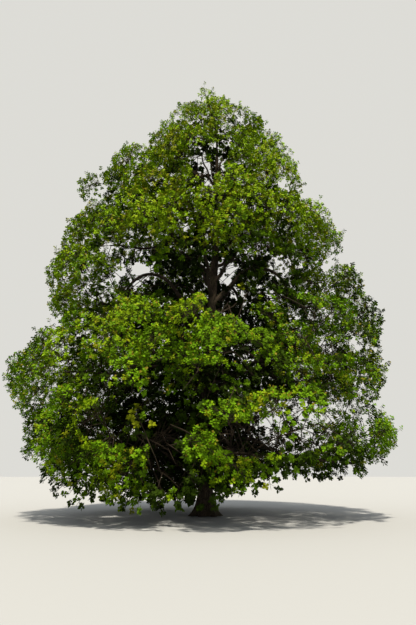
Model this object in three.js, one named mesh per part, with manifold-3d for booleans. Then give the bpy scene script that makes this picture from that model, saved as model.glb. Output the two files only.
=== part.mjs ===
// A large oak tree in early summer leaf.
// Millimetres, +Z up, origin on the ground in the middle of the trunk's flat cut.
// The side that the tree shows faces -Y, and +X is to the right of it.

import * as THREE from "three";
import { mergeVertices } from "three/addons/utils/BufferGeometryUtils.js";
import Module from "manifold-3d";

const wasm = await Module();
wasm.setup();

// Driving dimensions
const TREE_HEIGHT = 18900;
const DOME_HEIGHT = 18100;
const LEADER_RADIUS = 450;
const CROWN_FOOT = 750;
const CROWN_RADIUS = 7300;
const CROWN_BASE = 1000;
const TRUNK_TOP = 15600;
const TRUNK_RADIUS = 290;
const TRUNK_VANISH = 17000;
const TRUNK_TAPER = 0.65;
const TRUNK_LEAN = 560;
const LEAN_BEND = [1.75, -0.8];
const TRUNK_SWAY = 70;
const SWAY_TURN = 2.2;
const TRUNK_WEAVE = 60;
const WEAVE_TURN = 1.6;
const FLARE_RADIUS = 300;
const FLARE_FADE = 300;
const FLARE_LOBES = [{ count: 7, share: 1, turn: 0.9 }, { count: 3, share: 0.45, turn: 2.1 }];
const LOBE_DEPTH = 0.2;
const LOBE_FADE = 620;
const TRUNK_SIDES = 16;
const TRUNK_RINGS = 14;
const RING_CROWDING = 1.8;
const GAP = 0.3;

// Crown outline: fullness of the dome and how far its foot is drawn in
const DOME_FALL = 1.7;
const DOME_FULLNESS = 0.65;
const FOOT_ROUNDING = 0.15;
const FOOT_DRAW_IN = 0.22;

// Where the outline swells out (+) or draws in (-), by height and compass angle
const BULGES = [
  { height: 15600, angle: 180, reach: -750, spread: 1300 },
  { height: 13200, angle: 180, reach: 1250, spread: 1100 },
  { height: 11300, angle: 180, reach: 300, spread: 1000 },
  { height: 9600, angle: 180, reach: 850, spread: 1000 },
  { height: 7000, angle: 180, reach: -400, spread: 1000 },
  { height: 4600, angle: 190, reach: 600, spread: 1100 },
  { height: 17000, angle: 0, reach: 450, spread: 900 },
  { height: 15000, angle: 0, reach: 300, spread: 1300 },
  { height: 10600, angle: 0, reach: 150, spread: 1000 },
  { height: 8400, angle: 0, reach: 150, spread: 700 },
  { height: 6800, angle: 0, reach: 550, spread: 1000 },
  { height: 3900, angle: 0, reach: -700, spread: 700 },
];

// The foot of the crown hangs low in front and behind, and stands higher at the sides
const FOOT_RISES = [
  { angle: 315, rise: 1300 },
  { angle: 350, rise: 700 },
  { angle: 40, rise: 1100 },
  { angle: 175, rise: 1000 },
];
const FOOT_FACING = 8;

// Where sky shows through the crown, and the trunk's foot below it, on the plane of the trunk as
// seen from in front of the tree
// across, height: middle of the gap; wide, high: half sizes
const EYE_DISTANCE = 21300;
const EYE_HEIGHT = 1600;
const SKY_GAPS = [
  { across: -100, height: 14500, wide: 350, high: 450 },
  { across: -2750, height: 9700, wide: 850, high: 650 },
  { across: 700, height: 9650, wide: 650, high: 650 },
  { across: 3050, height: 9700, wide: 600, high: 500 },
  { across: 2750, height: 3600, wide: 450, high: 400 },
  { across: 3800, height: 3100, wide: 500, high: 450 },
  { across: 0, height: 550, wide: 600, high: 900 },
];

// Boughs
const BOUGH_SIDES = 5;
const BOUGH_STEPS = 5;
const BOUGH_TIP = 0.5;
const BOUGH_LEAVE = 0.33;
const BOUGH_ARRIVE = 0.3;
const BOUGH_HANG = 500;
const COLLAR_SWELL = 0.4;
const COLLAR_LENGTH = 0.08;
const BOUGH_WANDER = 170;

// Foliage: each leaf of a mass stands for one spray of small leaves
const SPRAY_LENGTH = 1800;
const SPRAY_WIDTH = 0.78;
const SPRAY_THICKNESS = 0.16;
const SPRAY_SIZES = [1, 0.8];
const SPRAY_SPACING = 1060;
const SPRAY_UPWARD = [0.25, 1.1];
const SPRAY_SWING = 50;
const SPRAY_TURN = 70;
const TIP_SPRAY = 0.75;
const TIP_SEAT = 0.3;
const TIP_FACING = new THREE.Vector3(0, -0.6, 1).normalize();
const SPRAY_TRIES = 500;
const SPRAY_INSET = 0.3;
const SPRAY_APART = 1.6;
const SEAT_BACK = 0.12;
const SEAT_ASIDE = 0.06;
const OUTLINE_EASE = 120;
const INNER_SHARE = 0.45;
const INNER_RARITY = 5;
const MASS_REACH = 0.7;
const MASS_LIFT = 350;
const STEM_STEPS = 3;
const STEM_EASE = 0.35;
const STEM_BOW = 0.06;
const STEM_HANG = 700;
const STEM_TAPER = 0.65;
const STEM_FORKS = 10;
const STEM_LAST_FORK = 0.97;
const TWIG_THICKNESS = 0.5;
const TWIG_FORKS = [0.15, 0.27, 0.4, 0.52];
const FORK_DELAY = 0.3;
const CROSSING_COST = 1500;
const CELL_GAP = 12;
const LIMB_CLEARANCE = 110;

// Tiers of the crown, from the ground up
// height, half: middle and half height of its masses; angles: where each stands round the trunk;
// swing: how far each spreads to either side, in degrees
// from, span: where its boughs leave the trunk; enter: the share of the crown radius where they end
// rise: how steeply boughs leave; arch: how far they bow up; fall: how much the foliage hangs
// spray: size of its sprays
const TIERS = [
  {
    name: "skirt", height: 2250, half: 1700, angles: [233, 287, 338, 35, 100, 170], swing: 34,
    from: 1750, span: 1500, radius: 118, enter: 0.4, rise: 0.25, arch: 500, fall: -0.3, spray: 1,
  },
  {
    name: "lower", height: 5250, half: 1800, angles: [262, 322, 15, 75, 138, 200], swing: 34,
    from: 3650, span: 1500, radius: 112, enter: 0.4, rise: 0.45, arch: 350, fall: -0.2, spray: 1,
  },
  {
    name: "middle", height: 8100, half: 1800, angles: [188, 130, 60, 354], swing: 36,
    from: 6900, span: 1200, radius: 104, enter: 0.56, rise: 1.2, arch: 2900, fall: -0.15, spray: 1,
  },
  {
    name: "upper", height: 10700, half: 1800, angles: [262, 338, 40, 110, 186], swing: 42,
    from: 8450, span: 1300, radius: 92, enter: 0.38, rise: 0.9, arch: 200, fall: 0, spray: 1,
  },
  {
    name: "shoulder", height: 13400, half: 1800, angles: [238, 316, 55, 172], swing: 58,
    from: 10900, span: 1000, radius: 72, enter: 0.34, rise: 1, arch: 100, fall: 0.05, spray: 0.9,
  },
  {
    name: "high", height: 15800, half: 1600, angles: [262, 18, 145], swing: 66,
    from: 13000, span: 900, radius: 54, enter: 0.3, rise: 1.1, arch: 50, fall: 0.15, spray: 0.8,
  },
];
// The leader stands on the trunk's tip; aside, below: where its stem ends, beside and under the top
const LEADER = {
  height: 17650, half: 1300, swing: 180, spray: 0.75, rise: 900, aside: 60, below: 810, stem: 0.9,
};

const UP = new THREE.Vector3(0, 0, 1);
const radians = THREE.MathUtils.degToRad;
const fraction = (value) => value - Math.floor(value);

// An even scatter of values from 0 to 1 on three axes, the same at every run
const SCATTER_STEPS = [0.8191725134, 0.6710436067, 0.5497004779];
function scatter(seed, index, axis) {
  return fraction((seed + 1) * 0.6180339887 * (axis + 1) + (index + 1) * SCATTER_STEPS[axis]);
}

function around(degrees) {
  return new THREE.Vector3(Math.cos(radians(degrees)), Math.sin(radians(degrees)), 0);
}

// The trunk leans a little to the right on its way up
function trunkCentre(height) {
  const share = height / TRUNK_TOP;
  const lean = TRUNK_LEAN * share * share * (LEAN_BEND[0] + LEAN_BEND[1] * share);
  const sway = TRUNK_SWAY * Math.sin(Math.PI * SWAY_TURN * share);
  const weave = TRUNK_WEAVE * Math.sin(Math.PI * WEAVE_TURN * share);
  return new THREE.Vector3(lean - sway, weave, height);
}

function trunkRadius(height, angle) {
  const stem = TRUNK_RADIUS * Math.pow(1 - height / TRUNK_VANISH, TRUNK_TAPER);
  const flare = FLARE_RADIUS * Math.exp(-height / FLARE_FADE);
  const lobes = FLARE_LOBES.reduce((sum, lobe) => (
    sum + lobe.share * Math.cos(lobe.count * radians(angle) + lobe.turn)
  ), 0);
  return (stem + flare) * (1 + LOBE_DEPTH * lobes * Math.exp(-height / LOBE_FADE));
}

function crownRadius(height, angle) {
  const share = THREE.MathUtils.clamp((height - CROWN_BASE) / (DOME_HEIGHT - CROWN_BASE), 0, 1);
  const foot = Math.min(share / FOOT_ROUNDING, 1);
  const drawIn = 1 - FOOT_DRAW_IN * (1 - Math.sin(foot * Math.PI / 2));
  const dome = CROWN_RADIUS * Math.pow(1 - Math.pow(share, DOME_FALL), DOME_FULLNESS) * drawIn;
  const swell = BULGES.reduce((sum, bulge) => {
    const facing = Math.max(Math.cos(radians(angle - bulge.angle)), 0) ** 2;
    const near = Math.exp(-(((height - bulge.height) / bulge.spread) ** 2));
    return sum + bulge.reach * facing * near;
  }, 0);
  return Math.max(dome + swell, LEADER_RADIUS);
}

function angleOf(point) {
  return THREE.MathUtils.radToDeg(Math.atan2(point.y, point.x));
}

function crownFoot(angle) {
  return FOOT_RISES.reduce((foot, side) => {
    const facing = Math.max(Math.cos(radians(angle - side.angle)), 0) ** FOOT_FACING;
    return foot + side.rise * facing;
  }, CROWN_FOOT);
}

function inCrown(point) {
  const angle = angleOf(point);
  if (point.z < crownFoot(angle) || point.z > TREE_HEIGHT) {
    return false;
  }
  return Math.hypot(point.x, point.y) <= crownRadius(point.z, angle) + OUTLINE_EASE;
}

// Whether a point lies before or behind one of the gaps where sky shows
function inSkyGap(point) {
  const nearer = EYE_DISTANCE / (EYE_DISTANCE + point.y);
  const across = point.x * nearer;
  const height = EYE_HEIGHT + (point.z - EYE_HEIGHT) * nearer;
  return SKY_GAPS.some((gap) => {
    const aside = (across - gap.across) / gap.wide;
    const above = (height - gap.height) / gap.high;
    return Math.hypot(aside, above) < 1;
  });
}

// A geometry's solid, with its shared corners merged
function solidOf(geometry) {
  geometry.deleteAttribute("normal");
  geometry.deleteAttribute("uv");
  const merged = mergeVertices(geometry, 1e-3);
  return new wasm.Manifold(new wasm.Mesh({
    numProp: 3,
    vertProperties: Float32Array.from(merged.attributes.position.array),
    triVerts: Uint32Array.from(merged.index.array),
  }));
}

// The largest body of a joined or cut solid, without loose scraps or sealed hollows
function mainBody(solid) {
  return solid.decompose().sort((a, b) => b.volume() - a.volume())[0];
}

function meshOf(name, solid, material) {
  const mesh = solid.getMesh();
  const geometry = new THREE.BufferGeometry();
  geometry.setAttribute("position", new THREE.BufferAttribute(Float32Array.from(mesh.vertProperties), 3));
  geometry.setIndex(new THREE.BufferAttribute(Uint32Array.from(mesh.triVerts), 1));
  geometry.computeVertexNormals();
  const node = new THREE.Mesh(geometry, material);
  node.name = name;
  return node;
}

// A limb along a curve: a cylinder whose rings are carried along it and sized by radiusAt
function limb(curve, radiusAt, sides, steps) {
  const geometry = new THREE.CylinderGeometry(1, 1, 1, sides, steps);
  const frames = curve.computeFrenetFrames(steps);
  const corners = geometry.attributes.position;
  for (let i = 0; i < corners.count; i += 1) {
    const share = corners.getY(i) + 0.5;
    const ring = Math.round(share * steps);
    const radius = radiusAt(share);
    const point = curve.getPointAt(share);
    point.addScaledVector(frames.binormals[ring], corners.getX(i) * radius);
    point.addScaledVector(frames.normals[ring], corners.getZ(i) * radius);
    corners.setXYZ(i, point.x, point.y, point.z);
  }
  return solidOf(geometry);
}

// The trunk's rings crowd toward the ground, where it flares into its roots
function trunkSolid(grown) {
  const geometry = new THREE.CylinderGeometry(1, 1, 1, TRUNK_SIDES, TRUNK_RINGS);
  geometry.rotateX(Math.PI / 2);
  const corners = geometry.attributes.position;
  for (let i = 0; i < corners.count; i += 1) {
    const share = Math.min(Math.max(corners.getZ(i) + 0.5, 0), 1);
    const height = TRUNK_TOP * Math.pow(share, RING_CROWDING);
    const centre = trunkCentre(height);
    const angle = THREE.MathUtils.radToDeg(Math.atan2(corners.getY(i), corners.getX(i)));
    const onAxis = Math.hypot(corners.getX(i), corners.getY(i)) < 0.5;
    const radius = onAxis ? 0 : trunkRadius(height, angle) + grown;
    const out = around(angle).multiplyScalar(radius);
    corners.setXYZ(i, centre.x + out.x, centre.y + out.y, height);
  }
  return solidOf(geometry);
}

// A bough leaves the trunk at a slant, bows up, and wanders a little from side to side
function boughCurve(start, entry, out, tier, seed) {
  const run = entry.clone().sub(start);
  const reach = Math.hypot(run.x, run.y);
  const side = new THREE.Vector3(-out.y, out.x, 0);
  const wander = BOUGH_WANDER * (scatter(seed, 5, 1) > 0.5 ? 1 : -1);
  const leave = start.clone().addScaledVector(out, reach * BOUGH_LEAVE).addScaledVector(side, wander);
  leave.z += reach * BOUGH_LEAVE * tier.rise;
  const arrive = entry.clone().addScaledVector(out, -reach * BOUGH_ARRIVE).addScaledVector(side, -wander);
  arrive.z += tier.arch;
  return new THREE.CubicBezierCurve3(start, leave, arrive, entry);
}

// The stem goes on from its bough's tip through the mass toward the crown's outline
function stemCurve(bough, middle, out, angle, tier) {
  const lead = bough.getTangentAt(1);
  const entry = bough.getPointAt(1);
  const end = out.clone().multiplyScalar(crownRadius(middle.z, angle) - SPRAY_LENGTH * tier.spray ** 2);
  end.setZ(middle.z + STEM_HANG * tier.fall);
  const reach = end.distanceTo(entry);
  const start = entry.clone().addScaledVector(lead, GAP);
  const leave = start.clone().addScaledVector(lead, reach * STEM_EASE);
  const arrive = end.clone().addScaledVector(out, -reach * STEM_EASE);
  arrive.z += reach * STEM_BOW;
  return new THREE.CubicBezierCurve3(start, leave, arrive, end);
}

// The masses of every tier, each with its bough and stem. Neighbouring boughs of a tier leave
// the trunk at heights well apart.
function plannedMasses() {
  return TIERS.flatMap((tier, level) => tier.angles.map((angle, index) => {
    const seed = level * 7 + index;
    const count = tier.angles.length;
    const order = (index * 2) % count + (count % 2 === 0 && index * 2 >= count ? 1 : 0);
    const out = around(angle);
    const radius = crownRadius(tier.height, angle);
    const lift = MASS_LIFT * (scatter(seed, 3, 0) - 0.5);
    const middle = out.clone().multiplyScalar(radius * MASS_REACH).setZ(tier.height + lift);
    const entry = out.clone().multiplyScalar(radius * tier.enter);
    entry.setZ(tier.height + lift - BOUGH_HANG * tier.fall);
    const start = trunkCentre(tier.from + tier.span * order / (count - 1));
    const bough = boughCurve(start, entry, out, tier, seed);
    const stem = stemCurve(bough, middle, out, angle, tier);
    const stemRadius = tier.radius * BOUGH_TIP;
    return { name: `${tier.name}_${index + 1}`, tier, seed, angle, middle, bough, stem, stemRadius };
  }));
}

function boughRadiusAt(tier) {
  return (share) => {
    const taper = tier.radius * (1 - (1 - BOUGH_TIP) * share);
    return taper * (1 + COLLAR_SWELL * Math.exp(-share / COLLAR_LENGTH));
  };
}

// Points and radii along every limb, for keeping twigs and sprays clear of them
function limbLine(curve, radiusAt, steps) {
  const points = curve.getSpacedPoints(steps);
  return points.map((point, i) => ({ point, radius: radiusAt(i / steps) }));
}

function clearOfLimbs(point, lines, clearance) {
  const segment = new THREE.Line3();
  const nearest = new THREE.Vector3();
  return lines.every((line) => line.slice(1).every((end, i) => {
    segment.set(line[i].point, end.point);
    segment.closestPointToPoint(point, true, nearest);
    return nearest.distanceTo(point) > Math.max(line[i].radius, end.radius) + clearance;
  }));
}

// A mass keeps to its own heights and to the points nearer to its middle than to any other's
function inSpace(point, mass, masses) {
  if (!inCrown(point) || Math.abs(point.z - mass.middle.z) > mass.tier.half) {
    return false;
  }
  return masses.every((other) => {
    if (other === mass) {
      return true;
    }
    const apart = other.middle.distanceTo(mass.middle);
    const lead = other.middle.distanceToSquared(point) - mass.middle.distanceToSquared(point);
    return lead > CELL_GAP * apart;
  });
}

// Corners, edge middles and centre of a spray, where it is tested
function sprayPoints(spray) {
  const corners = [
    [1, 0, 0], [-1, 0, 0], [0, 1, 0], [0, -1, 0], [0, 0, 1], [0, 0, -1],
    [0.5, 0.5, 0], [0.5, -0.5, 0], [-0.5, 0.5, 0], [-0.5, -0.5, 0], [0.5, 0, 0], [-0.5, 0, 0],
  ];
  return corners.map(([along, across, through]) => spray.middle.clone()
    .addScaledVector(spray.direction, along * spray.length / 2)
    .addScaledVector(spray.across, across * spray.length * SPRAY_WIDTH / 2)
    .addScaledVector(spray.facing, through * spray.length * SPRAY_THICKNESS / 2));
}

function spraySolid(spray) {
  const matrix = new THREE.Matrix4();
  matrix.makeBasis(
    spray.direction.clone().multiplyScalar(spray.length / 2),
    spray.across.clone().multiplyScalar(spray.length * SPRAY_WIDTH / 2),
    spray.facing.clone().multiplyScalar(spray.length * SPRAY_THICKNESS / 2),
  );
  matrix.setPosition(spray.middle);
  return solidOf(new THREE.OctahedronGeometry(1).applyMatrix4(matrix));
}

// A spray faces outward and up, like the outer sprays of an oak, and points down the slope of the crown
function sprayAt(middle, seed, index, length) {
  const outward = middle.clone().setZ(0).normalize();
  outward.applyAxisAngle(UP, radians(SPRAY_SWING * (2 * scatter(seed, index, 1) - 1)));
  const upward = THREE.MathUtils.lerp(...SPRAY_UPWARD, scatter(seed, index, 2));
  const facing = outward.clone().addScaledVector(UP, upward).normalize();
  const direction = outward.addScaledVector(facing, -outward.dot(facing)).normalize();
  direction.applyAxisAngle(facing, radians(SPRAY_TURN * (2 * scatter(seed, index, 0) - 1))).normalize();
  return { middle, direction, across: facing.clone().cross(direction), facing, length };
}

// The spray at a stem's end points on along the stem
function tipSpray(end, ahead, mass) {
  const length = SPRAY_LENGTH * mass.tier.spray * TIP_SPRAY;
  const across = TIP_FACING.clone().cross(ahead).normalize();
  return {
    middle: end.clone().addScaledVector(ahead, length * TIP_SEAT),
    direction: ahead,
    across,
    facing: ahead.clone().cross(across),
    length,
  };
}

// Whether a corner or edge of one spray comes into the flat space that another takes up
function reachesInto(spray, other) {
  return sprayPoints(spray).some((point) => {
    const offset = point.sub(other.middle);
    const along = Math.abs(offset.dot(other.direction)) / (other.length / 2);
    const across = Math.abs(offset.dot(other.across)) / (other.length * SPRAY_WIDTH / 2);
    const through = Math.abs(offset.dot(other.facing)) / (other.length * SPRAY_THICKNESS / 2);
    return along + across + through / SPRAY_APART < 1;
  });
}

function fits(spray, mass, masses, lines, taken) {
  const near = taken.filter((other) => other.middle.distanceTo(spray.middle) < SPRAY_LENGTH);
  const spaced = near.every((other) => {
    const share = (other.length + spray.length) / (2 * SPRAY_LENGTH);
    return other.middle.distanceTo(spray.middle) > SPRAY_SPACING * share
      && !reachesInto(spray, other) && !reachesInto(other, spray);
  });
  const points = sprayPoints(spray);
  return spaced && points.slice(0, 6).every((point) => inSpace(point, mass, masses))
    && points.every((point) => clearOfLimbs(point, lines, LIMB_CLEARANCE));
}

// Sprays of a mass, the large ones first: spread evenly, most of them just inside the outline
function spraysOf(mass, first, masses, lines, taken) {
  const sprays = [];
  if (fits(first, mass, masses, lines, taken)) {
    sprays.push(first);
    taken.push(first);
  }
  SPRAY_SIZES.forEach((size) => {
    for (let i = 0; i < SPRAY_TRIES; i += 1) {
      const height = mass.middle.z + mass.tier.half * (2 * scatter(mass.seed, i, 0) - 1);
      const angle = mass.angle + mass.tier.swing * (2 * scatter(mass.seed, i, 1) - 1);
      const inward = INNER_SHARE * Math.pow(scatter(mass.seed, i, 2), INNER_RARITY);
      const length = SPRAY_LENGTH * mass.tier.spray * size;
      const radius = Math.max(crownRadius(height, angle) - length * SPRAY_INSET, 0) * (1 - inward);
      const middle = around(angle).multiplyScalar(radius).setZ(height);
      const spray = sprayAt(middle, mass.seed + 0.5, i, length);
      if (!inSkyGap(middle) && fits(spray, mass, masses, lines, taken)) {
        sprays.push(spray);
        taken.push(spray);
      }
    }
  });
  return sprays;
}

// A twig tapers to a point inside its spray
function twigSolid(from, to, radius) {
  const run = to.clone().sub(from);
  const length = run.length();
  const turn = new THREE.Quaternion().setFromUnitVectors(new THREE.Vector3(0, 1, 0), run.normalize());
  const geometry = new THREE.ConeGeometry(radius, length, 3, 1);
  geometry.translate(0, length / 2, 0);
  geometry.applyQuaternion(turn);
  geometry.translate(from.x, from.y, from.z);
  return solidOf(geometry);
}

// Whether a straight twig from one point to another passes through a spray
function passesThrough(from, to, spray) {
  const start = from.clone().sub(spray.middle);
  const end = to.clone().sub(spray.middle);
  const before = start.dot(spray.facing);
  const after = end.dot(spray.facing);
  if (before * after > 0) {
    return false;
  }
  const meeting = start.lerp(end, before / (before - after));
  const along = Math.abs(meeting.dot(spray.direction)) / (spray.length / 2);
  const across = Math.abs(meeting.dot(spray.across)) / (spray.length * SPRAY_WIDTH / 2);
  return along + across < 1;
}

// A point on the straight stretches between a limb's rings
function betweenRings(curve, steps, share) {
  const ring = Math.min(Math.floor(share * steps), steps - 1);
  const from = curve.getPointAt(ring / steps);
  return from.lerp(curve.getPointAt((ring + 1) / steps), share * steps - ring);
}

// Places on a stem or twig where a twig can start, half as thick as what it grows from
function forksAlong(curve, steps, shares, radiusAt, wayBefore, onStem) {
  return shares.map((share) => ({
    point: betweenRings(curve, steps, share),
    radius: radiusAt(share) * TWIG_THICKNESS,
    way: wayBefore + curve.getLength() * share,
    onStem,
  }));
}

// Each spray is joined by a twig to the free fork that gives the shortest way from the stem's foot.
// A fork carries one twig, and a twig on the stem has forks of its own.
function foliageSolid(mass, masses, lines, taken) {
  const { stem, stemRadius } = mass;
  const stemRadiusAt = (share) => stemRadius * (1 - (1 - STEM_TAPER) * share);
  const stemShares = Array.from({ length: STEM_FORKS }, (_, k) => STEM_LAST_FORK * (k + 1) / STEM_FORKS);
  let forks = forksAlong(stem, STEM_STEPS, stemShares, stemRadiusAt, 0, true);
  const foot = stem.getPointAt(0);
  const first = tipSpray(stem.getPointAt(1), stem.getTangentAt(1), mass);
  const sprays = spraysOf(mass, first, masses, lines, taken);
  sprays.sort((a, b) => a.middle.distanceTo(foot) - b.middle.distanceTo(foot));
  let solid = limb(stem, stemRadiusAt, 3, STEM_STEPS);
  sprays.forEach((spray) => {
    if (spray === first) {
      solid = solid.add(spraySolid(spray));
      return;
    }
    const seat = spray.middle.clone()
      .addScaledVector(spray.direction, -spray.length * SEAT_BACK)
      .addScaledVector(spray.across, spray.length * SEAT_ASIDE);
    const cost = (fork) => {
      const crossed = sprays.filter((other) => other !== spray && passesThrough(fork.point, seat, other));
      return fork.point.distanceTo(seat) + FORK_DELAY * fork.way + CROSSING_COST * crossed.length;
    };
    const fork = forks.reduce((best, other) => (cost(other) < cost(best) ? other : best));
    const line = new THREE.LineCurve3(fork.point, seat);
    const clear = line.getSpacedPoints(8).slice(1)
      .every((point) => clearOfLimbs(point, lines, LIMB_CLEARANCE / 2) && inSpace(point, mass, masses));
    if (!clear) {
      return;
    }
    solid = solid.add(twigSolid(fork.point, seat, fork.radius)).add(spraySolid(spray));
    forks = forks.filter((other) => other !== fork);
    if (fork.onStem) {
      const radiusAt = (share) => fork.radius * (1 - share);
      forks = forks.concat(forksAlong(line, 1, TWIG_FORKS, radiusAt, fork.way, false));
    }
  });
  return mainBody(solid);
}

// The leader is the mass at the very top, on the trunk's tip
function plannedLeader() {
  const entry = trunkCentre(TRUNK_TOP);
  const stem = new THREE.QuadraticBezierCurve3(
    entry.clone().addScaledVector(UP, GAP),
    entry.clone().addScaledVector(UP, LEADER.rise),
    new THREE.Vector3(LEADER.aside, 0, TREE_HEIGHT - LEADER.below),
  );
  return {
    name: "leader",
    tier: LEADER,
    seed: 50,
    angle: 0,
    middle: new THREE.Vector3(entry.x / 2, 0, LEADER.height),
    stem,
    stemRadius: trunkRadius(TRUNK_TOP, 0) * LEADER.stem,
  };
}

const bark = new THREE.MeshStandardMaterial({ color: 0x5b5146, roughness: 0.95, metalness: 0 });
const foliage = new THREE.MeshStandardMaterial({ color: 0x5c7a22, roughness: 0.7, metalness: 0 });
foliage.flatShading = true;

const tree = new THREE.Group();
tree.add(meshOf("trunk", trunkSolid(0), bark));
const trunkGrown = trunkSolid(GAP);
const trunkLine = [];
for (let ring = 0; ring <= TRUNK_RINGS; ring += 1) {
  const height = TRUNK_TOP * ring / TRUNK_RINGS;
  trunkLine.push({ point: trunkCentre(height), radius: trunkRadius(height, 0) });
}

const masses = plannedMasses();
const boughLines = masses.map((mass) => limbLine(mass.bough, boughRadiusAt(mass.tier), 10));
masses.forEach((mass) => {
  const bough = limb(mass.bough, boughRadiusAt(mass.tier), BOUGH_SIDES, BOUGH_STEPS);
  tree.add(meshOf(`bough_${mass.name}`, mainBody(bough.subtract(trunkGrown)), bark));
});

const crown = [...masses, plannedLeader()];
const taken = [];
crown.forEach((mass) => {
  const solid = foliageSolid(mass, crown, [trunkLine, ...boughLines], taken);
  tree.add(meshOf(`foliage_${mass.name}`, solid, foliage));
});

export default tree;
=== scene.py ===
# A large open-grown oak in early summer leaf, grown on from the limbs of its solid model.
# Metres, Z up. The trunk stands on the origin, and the side that the tree shows faces -Y.

import math

import bpy
import numpy as np
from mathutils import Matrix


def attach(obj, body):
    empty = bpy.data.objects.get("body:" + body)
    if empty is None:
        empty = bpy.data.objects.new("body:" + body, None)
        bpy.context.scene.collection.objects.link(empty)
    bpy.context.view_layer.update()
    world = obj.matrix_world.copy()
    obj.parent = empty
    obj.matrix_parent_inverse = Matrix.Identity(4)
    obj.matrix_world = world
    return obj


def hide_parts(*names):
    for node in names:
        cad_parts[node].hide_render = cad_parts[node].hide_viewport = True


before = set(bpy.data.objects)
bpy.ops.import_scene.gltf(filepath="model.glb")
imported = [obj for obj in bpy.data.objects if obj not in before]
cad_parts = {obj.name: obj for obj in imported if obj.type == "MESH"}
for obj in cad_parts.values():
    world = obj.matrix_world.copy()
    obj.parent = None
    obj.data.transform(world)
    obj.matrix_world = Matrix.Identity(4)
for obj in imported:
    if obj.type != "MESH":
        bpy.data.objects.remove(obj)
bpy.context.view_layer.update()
up = np.array([0.0, 0.0, 1.0])
goldenAngle = math.pi * (3 - math.sqrt(5))
fullTurn = 6.28  # in radians, near enough for a chance turn
tiny = 1e-9
nearEnd = 1 - 1e-4  # the point before a curve's end that gives its direction there


# Outline of the crown

crown = {
    "height": 18.9,  # the tip of the slim leader, which stands out of the dome
    "leaderRadius": 0.45,
    "domeHeight": 18.1,
    "foot": 0.75,  # nothing hangs lower, and the sides stand higher: angle from +X, rise
    "footRises": [(315, 1.3), (350, 0.7), (40, 1.1), (175, 1.0)],
    "footFacing": 8,
    "base": 1.0, "radius": 7.3, "domeFall": 1.7, "domeFullness": 0.65,
    "footRounding": 0.15, "footDrawIn": 0.22,
    "ease": 0.12,  # how far a spray's corner may stand outside
    "cellGap": 0.012,  # half the gap between neighbouring masses
    # height, angle from +X, how far the outline swells (+) or draws in (-), and over what height
    "bulges": [
        (15.6, 180, -0.75, 1.3), (13.2, 180, 1.25, 1.1), (11.3, 180, 0.3, 1.0),
        (9.6, 180, 0.85, 1.0), (7.0, 180, -0.4, 1.0), (4.6, 190, 0.6, 1.1), (17.0, 0, 0.45, 0.9),
        (15.0, 0, 0.3, 1.3), (10.6, 0, 0.15, 1.0), (8.4, 0, 0.15, 0.7), (6.8, 0, 0.55, 1.0),
        (3.9, 0, -0.7, 0.7),
    ],
}


def crownRadius(height, angle):
    share = np.clip((height - crown["base"]) / (crown["domeHeight"] - crown["base"]), 0, 1)
    foot = np.minimum(share / crown["footRounding"], 1)
    drawIn = 1 - crown["footDrawIn"] * (1 - np.sin(foot * math.pi / 2))
    radius = crown["radius"] * (1 - share ** crown["domeFall"]) ** crown["domeFullness"] * drawIn
    for middle, facing, reach, spread in crown["bulges"]:
        turned = np.maximum(np.cos(np.radians(angle - facing)), 0) ** 2
        radius = radius + reach * turned * np.exp(-((height - middle) / spread) ** 2)
    return np.maximum(radius, crown["leaderRadius"])


def crownFoot(angle):
    foot = crown["foot"]
    for side, rise in crown["footRises"]:
        foot = foot + rise * np.maximum(np.cos(np.radians(angle - side)), 0) ** crown["footFacing"]
    return foot


def inCrown(points):
    angle = np.degrees(np.arctan2(points[:, 1], points[:, 0]))
    reach = crownRadius(points[:, 2], angle) + crown["ease"]
    inside = np.hypot(points[:, 0], points[:, 1]) <= reach
    return inside & (points[:, 2] >= crownFoot(angle)) & (points[:, 2] <= crown["height"])


# Sky gaps, on the plane of the trunk as the eye sees it: across, height, half width, half height

eye = {"distance": 21.3, "height": 1.6}
sprayGaps = [
    (-0.1, 14.5, 0.35, 0.45), (-2.75, 9.7, 0.85, 0.65), (0.7, 9.65, 0.65, 0.65),
    (3.05, 9.7, 0.6, 0.5), (2.75, 3.6, 0.45, 0.4), (3.8, 3.1, 0.5, 0.45), (0, 0.55, 0.6, 0.9),
]
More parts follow.
